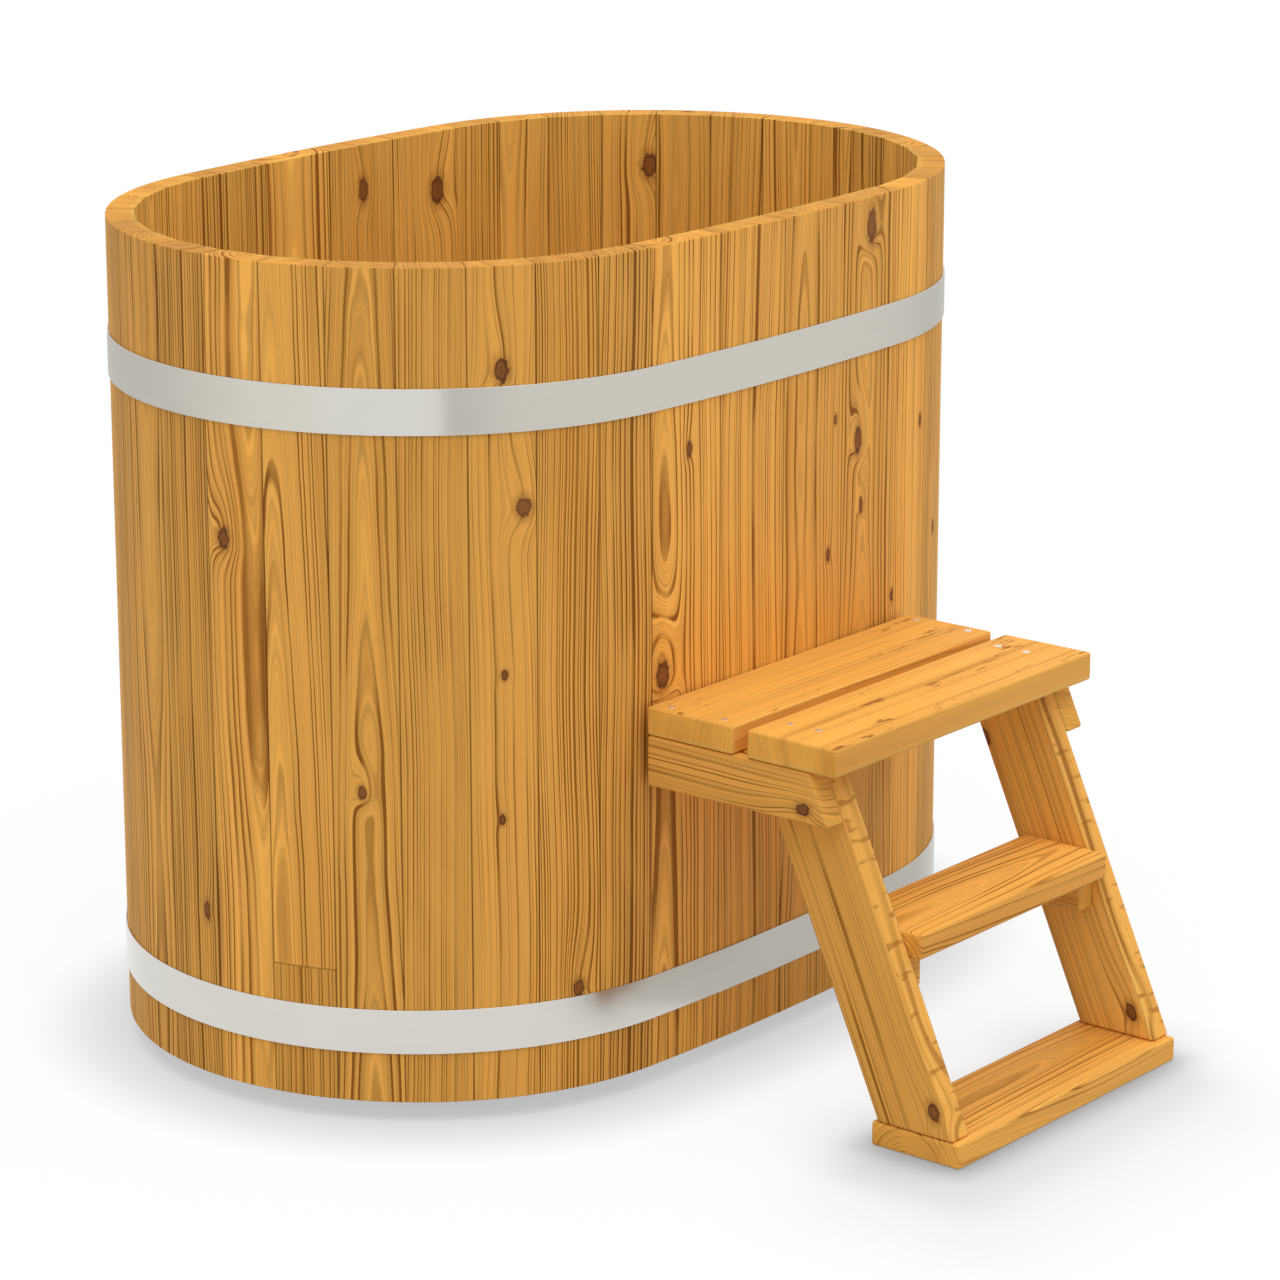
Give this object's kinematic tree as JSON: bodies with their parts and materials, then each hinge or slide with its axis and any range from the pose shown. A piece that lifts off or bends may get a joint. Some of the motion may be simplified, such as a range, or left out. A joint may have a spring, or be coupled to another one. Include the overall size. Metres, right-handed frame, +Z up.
{
  "type": "wooden soaking tub",
  "caption": "Oval tub of upright wooden staves held by steel hoops, with a floor in a croze, a drain valve at the back and a wooden step unit at one side.",
  "frame": {"origin": "on the ground under the middle of the oval tub, on the underside of the middle floor joist", "axes": "+X along the tub's long axis, +Y across it away from the steps, +Z up"},
  "size_m": [1.2044, 1.3174, 1.039],
  "materials": {
    "stave_wood": "oiled satin",
    "step_wood": "oiled satin",
    "floor_wood": "oiled satin",
    "hoop_steel": "satin",
    "fastener_steel": "bright",
    "drain_steel": "satin",
    "valve_brass": "machined",
    "lever_paint": "semi-gloss",
    "gasket_rubber": "matt"
  },
  "bodies": {
    "tub": {"back_stave_01": "stave_wood", "back_stave_02": "stave_wood", "back_stave_03": "stave_wood", "back_stave_04": "stave_wood", "drain_flange": "drain_steel", "drain_gasket": "gasket_rubber", "drain_locknut": "valve_brass", "floor_boards": "floor_wood", "floor_joists": "floor_wood", "foot_board": "step_wood", "front_stave_01": "stave_wood", "front_stave_02": "stave_wood", "front_stave_03": "stave_wood", "front_stave_04": "stave_wood", "front_tread": "step_wood", "hoop_bolts": "fastener_steel", "hoop_nuts": "fastener_steel", "left_end_stave_01": "stave_wood", "left_end_stave_02": "stave_wood", "left_end_stave_03": "stave_wood", "left_end_stave_04": "stave_wood", "left_end_stave_05": "stave_wood", "left_end_stave_06": "stave_wood", "left_end_stave_07": "stave_wood", "left_end_stave_08": "stave_wood", "left_end_stave_09": "stave_wood", "left_end_stave_10": "stave_wood", "left_end_stave_11": "stave_wood", "left_end_stave_12": "stave_wood", "left_end_stave_13": "stave_wood", "left_end_stave_14": "stave_wood", "left_rail": "step_wood", "left_stringer": "step_wood", "lower_hoop": "hoop_steel", "middle_step": "step_wood", "rear_tread": "step_wood", "right_end_stave_01": "stave_wood", "right_end_stave_02": "stave_wood", "right_end_stave_03": "stave_wood", "right_end_stave_04": "stave_wood", "right_end_stave_05": "stave_wood", "right_end_stave_06": "stave_wood", "right_end_stave_07": "stave_wood", "right_end_stave_08": "stave_wood", "right_end_stave_09": "stave_wood", "right_end_stave_10": "stave_wood", "right_end_stave_11": "stave_wood", "right_end_stave_12": "stave_wood", "right_end_stave_13": "stave_wood", "right_end_stave_14": "stave_wood", "right_rail": "step_wood", "right_stringer": "step_wood", "step_cleats": "step_wood", "step_screws": "fastener_steel", "upper_hoop": "hoop_steel", "valve_body": "valve_brass", "wall_ledger": "step_wood", "waste_elbow": "valve_brass"},
    "valve_handle": {"valve_ball": "valve_brass", "valve_lever": "lever_paint"}
  },
  "joints": [
    {"name": "valve_turn", "type": "hinge", "parent": "tub", "child": "valve_handle", "pos_m": [0.06102, 0.435, 0.0823], "axis": [0, 0, 1], "range_deg": [0, 90]}
  ]
}
